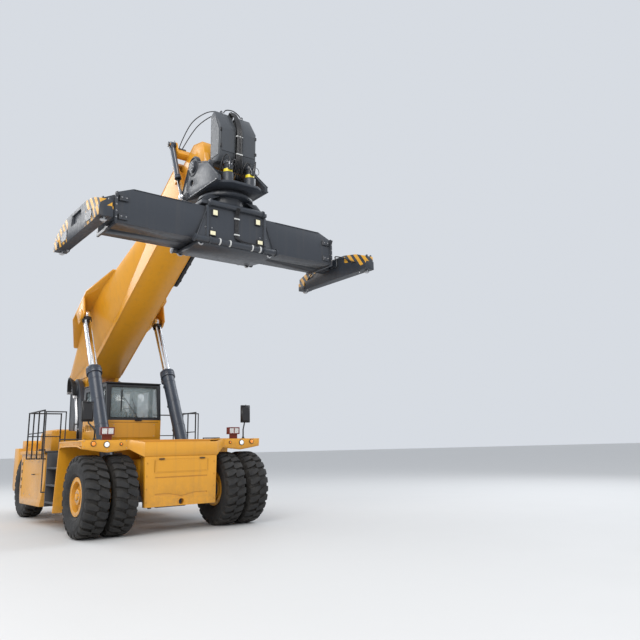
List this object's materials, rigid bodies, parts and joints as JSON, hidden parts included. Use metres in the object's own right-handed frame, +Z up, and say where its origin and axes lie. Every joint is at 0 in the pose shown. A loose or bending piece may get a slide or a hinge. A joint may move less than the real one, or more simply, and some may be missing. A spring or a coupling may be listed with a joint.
{
  "type": "reach stacker",
  "caption": "Container handling truck with a telescopic boom, lift cylinders, a slewing head and a telescopic spreader with twistlocks.",
  "frame": {"origin": "middle of the machine's footprint box, on the ground", "axes": "+X forward towards the spreader, +Y to the machine's left, +Z up"},
  "size_m": [11.135, 6.093, 8.62],
  "materials": {
    "yellow_paint": "gloss",
    "dark_paint": "satin",
    "grey_paint": "satin",
    "black_plastic": "matte",
    "bright_steel": "polished",
    "lamp_red": "satin",
    "clear_glass": "clear",
    "tyre_rubber": "matte"
  },
  "bodies": {
    "carrier": {"chassis": "yellow_paint", "front_apron": "yellow_paint", "front_fenders": "yellow_paint", "platforms": "dark_paint", "side_boxes": "yellow_paint", "steps": "dark_paint", "handrails": "black_plastic", "tower": "dark_paint", "rear_hood": "yellow_paint", "engine_block": "dark_paint", "counterweight": "yellow_paint", "exhaust": "dark_paint", "front_axle": "dark_paint", "rear_axle": "dark_paint", "cab_shell": "yellow_paint", "cab_glass": "clear_glass", "cab_seat": "black_plastic", "cab_console": "black_plastic", "mirrors": "black_plastic", "work_lamps": "lamp_red"},
    "steering_left": {"knuckle_left": "dark_paint"},
    "steering_right": {"knuckle_right": "dark_paint"},
    "wheel_front_left": {"rim_front_left": "yellow_paint", "tyres_front_left": "tyre_rubber"},
    "wheel_front_right": {"rim_front_right": "yellow_paint", "tyres_front_right": "tyre_rubber"},
    "wheel_rear_left": {"rim_rear_left": "yellow_paint", "tyre_rear_left": "tyre_rubber"},
    "wheel_rear_right": {"rim_rear_right": "yellow_paint", "tyre_rear_right": "tyre_rubber"},
    "cab_door_left": {"door_left": "yellow_paint", "door_glass_left": "clear_glass"},
    "cab_door_right": {"door_right": "yellow_paint", "door_glass_right": "clear_glass"},
    "boom_outer": {"outer_boom": "yellow_paint", "boom_side_plates": "yellow_paint", "boom_collar": "yellow_paint", "hose_track": "black_plastic"},
    "boom_inner": {"inner_boom": "yellow_paint", "boom_head": "yellow_paint"},
    "lift_barrel_l": {"lift_barrel_left": "dark_paint"},
    "lift_barrel_r": {"lift_barrel_right": "dark_paint"},
    "lift_rod_l": {"lift_rod_left": "bright_steel"},
    "lift_rod_r": {"lift_rod_right": "bright_steel"},
    "head": {"head_yoke": "dark_paint", "head_housing": "grey_paint"},
    "damper_barrel_l": {"damper_barrel_left": "dark_paint"},
    "damper_barrel_r": {"damper_barrel_right": "dark_paint"},
    "damper_rod_l": {"damper_rod_left": "bright_steel"},
    "damper_rod_r": {"damper_rod_right": "bright_steel"},
    "rotator": {"rotator_frame": "dark_paint", "shift_carriage": "dark_paint"},
    "beam": {"main_beam": "dark_paint"},
    "gable_left": {"telescope_left": "dark_paint"},
    "gable_right": {"telescope_right": "dark_paint"},
    "lock_left_front": {"twistlock_left_front": "bright_steel"},
    "lock_left_rear": {"twistlock_left_rear": "bright_steel"},
    "lock_right_front": {"twistlock_right_front": "bright_steel"},
    "lock_right_rear": {"twistlock_right_rear": "bright_steel"}
  },
  "joints": [
    {"name": "boom_lift", "type": "hinge", "parent": "carrier", "child": "boom_outer", "pos_m": [-2.8675, 0, 3.4], "axis": [0, -1, 0], "range_deg": [-31, 29]},
    {"name": "boom_extend", "type": "slide", "parent": "boom_outer", "child": "boom_inner", "axis": [-0.8572, 0, -0.515], "range_m": [-6.2, 0]},
    {"name": "head_tilt", "type": "hinge", "parent": "boom_inner", "child": "head", "pos_m": [3.97954, 0, 7.53745], "axis": [0, -1, 0], "range_deg": [-29.5, 31.5]},
    {"name": "lift_barrel_swing_left", "type": "hinge", "parent": "carrier", "child": "lift_barrel_l", "pos_m": [1.0325, 0.977, 1], "axis": [0, -1, 0], "range_deg": [-5.2, 4.9]},
    {"name": "lift_rod_slide_left", "type": "slide", "parent": "lift_barrel_l", "child": "lift_rod_l", "axis": [-0.4744, 0, 0.8803], "range_m": [-1.25, 1.17]},
    {"name": "damper_barrel_swing_left", "type": "hinge", "parent": "boom_inner", "child": "damper_barrel_l", "pos_m": [3.09836, 0.68, 8.37295], "axis": [0, -1, 0], "range_deg": [-9, 9.5]},
    {"name": "damper_rod_slide_left", "type": "slide", "parent": "damper_barrel_l", "child": "damper_rod_l", "axis": [0.3641, 0, -0.9314], "range_m": [-0.27, 0.29]},
    {"name": "lift_barrel_swing_right", "type": "hinge", "parent": "carrier", "child": "lift_barrel_r", "pos_m": [1.0325, -0.977, 1], "axis": [0, -1, 0], "range_deg": [-5.2, 4.9]},
    {"name": "lift_rod_slide_right", "type": "slide", "parent": "lift_barrel_r", "child": "lift_rod_r", "axis": [-0.4744, 0, 0.8803], "range_m": [-1.25, 1.17]},
    {"name": "damper_barrel_swing_right", "type": "hinge", "parent": "boom_inner", "child": "damper_barrel_r", "pos_m": [3.09836, -0.68, 8.37295], "axis": [0, -1, 0], "range_deg": [-9, 9.5]},
    {"name": "damper_rod_slide_right", "type": "slide", "parent": "damper_barrel_r", "child": "damper_rod_r", "axis": [0.3641, 0, -0.9314], "range_m": [-0.27, 0.29]},
    {"name": "spreader_rotate", "type": "hinge", "parent": "head", "child": "rotator", "pos_m": [4.3325, 0, 6.78], "axis": [0, 0, 1], "range_deg": [-105, 195]},
    {"name": "side_shift", "type": "slide", "parent": "rotator", "child": "beam", "axis": [0, 1, 0], "range_m": [-0.8, 0.8]},
    {"name": "telescope_left", "type": "slide", "parent": "beam", "child": "gable_left", "axis": [0, 1, 0], "range_m": [0, 3.066]},
    {"name": "telescope_right", "type": "slide", "parent": "beam", "child": "gable_right", "axis": [0, -1, 0], "range_m": [0, 3.066]},
    {"name": "lock_left_front_turn", "type": "hinge", "parent": "gable_left", "child": "lock_left_front", "pos_m": [5.462, 2.9265, 5.45], "axis": [0, 0, 1], "range_deg": [0, 90]},
    {"name": "lock_left_rear_turn", "type": "hinge", "parent": "gable_left", "child": "lock_left_rear", "pos_m": [3.203, 2.9265, 5.45], "axis": [0, 0, 1], "range_deg": [0, 90]},
    {"name": "lock_right_front_turn", "type": "hinge", "parent": "gable_right", "child": "lock_right_front", "pos_m": [5.462, -2.9265, 5.45], "axis": [0, 0, 1], "range_deg": [0, 90]},
    {"name": "lock_right_rear_turn", "type": "hinge", "parent": "gable_right", "child": "lock_right_rear", "pos_m": [3.203, -2.9265, 5.45], "axis": [0, 0, 1], "range_deg": [0, 90]},
    {"name": "steer_left", "type": "hinge", "parent": "carrier", "child": "steering_left", "pos_m": [-3.9675, 0.98, 0.8075], "axis": [0, 0, 1], "range_deg": [-48, 48]},
    {"name": "steer_right", "type": "hinge", "parent": "carrier", "child": "steering_right", "pos_m": [-3.9675, -0.98, 0.8075], "axis": [0, 0, 1], "range_deg": [-48, 48]},
    {"name": "roll_front_left", "type": "hinge", "parent": "carrier", "child": "wheel_front_left", "pos_m": [2.0325, 1.536, 0.8075], "axis": [0, 1, 0], "continuous": true},
    {"name": "roll_rear_left", "type": "hinge", "parent": "steering_left", "child": "wheel_rear_left", "pos_m": [-3.9675, 1.351, 0.8075], "axis": [0, 1, 0], "continuous": true},
    {"name": "door_left_swing", "type": "hinge", "parent": "carrier", "child": "cab_door_left", "pos_m": [-1.7725, 0.714, 2.6], "axis": [0, 0, 1], "range_deg": [0, 80]},
    {"name": "roll_front_right", "type": "hinge", "parent": "carrier", "child": "wheel_front_right", "pos_m": [2.0325, -1.536, 0.8075], "axis": [0, 1, 0], "continuous": true},
    {"name": "roll_rear_right", "type": "hinge", "parent": "steering_right", "child": "wheel_rear_right", "pos_m": [-3.9675, -1.351, 0.8075], "axis": [0, 1, 0], "continuous": true},
    {"name": "door_right_swing", "type": "hinge", "parent": "carrier", "child": "cab_door_right", "pos_m": [-1.7725, -0.714, 2.6], "axis": [0, 0, -1], "range_deg": [0, 80]}
  ],
  "couplings": [
    {"joint": "head_tilt", "follows": "boom_lift", "ratio": -1},
    {"joint": "lift_barrel_swing_left", "follows": "boom_lift", "ratio": 0.16277},
    {"joint": "lift_rod_slide_left", "follows": "boom_lift", "m_per_rad": 2.2809},
    {"joint": "damper_barrel_swing_left", "follows": "boom_lift", "ratio": -0.28974},
    {"joint": "damper_rod_slide_left", "follows": "boom_lift", "m_per_rad": -0.5065},
    {"joint": "lift_barrel_swing_right", "follows": "boom_lift", "ratio": 0.16277},
    {"joint": "lift_rod_slide_right", "follows": "boom_lift", "m_per_rad": 2.2809},
    {"joint": "damper_barrel_swing_right", "follows": "boom_lift", "ratio": -0.28974},
    {"joint": "damper_rod_slide_right", "follows": "boom_lift", "m_per_rad": -0.5065},
    {"joint": "telescope_right", "follows": "telescope_left", "ratio": 1},
    {"joint": "lock_left_rear_turn", "follows": "lock_left_front_turn", "ratio": 1},
    {"joint": "lock_right_front_turn", "follows": "lock_left_front_turn", "ratio": 1},
    {"joint": "lock_right_rear_turn", "follows": "lock_left_front_turn", "ratio": 1},
    {"joint": "steer_right", "follows": "steer_left", "ratio": 1}
  ]
}
